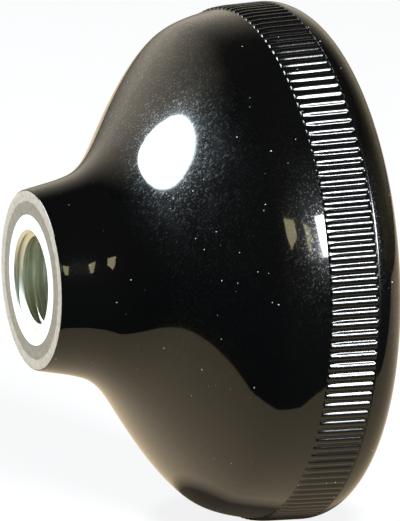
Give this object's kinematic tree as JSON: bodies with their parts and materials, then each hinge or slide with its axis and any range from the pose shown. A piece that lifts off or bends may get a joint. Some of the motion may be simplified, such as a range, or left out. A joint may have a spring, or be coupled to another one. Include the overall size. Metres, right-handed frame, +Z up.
{
  "type": "knurled knob",
  "caption": "Round black moulded knob with a bell-shaped back, a straight-knurled rim, a low crowned face and a threaded steel insert flush with its stem end.",
  "frame": {"origin": "on the knob's axis where the wall of the tapped hole begins, at the bottom of its countersink, 0.645 mm inside the ground stem end", "axes": "+X along the knob's axis from the stem end to the crowned face, +Z up"},
  "size_m": [0.0301, 0.0508, 0.0508],
  "materials": {
    "black_phenolic": "polished from the mould, with the stem end ground to the grey filler",
    "zinc_plated_steel": "bright zinc plate"
  },
  "bodies": {
    "root": {"knob_body": "black_phenolic", "threaded_insert": "zinc_plated_steel"}
  },
  "joints": []
}
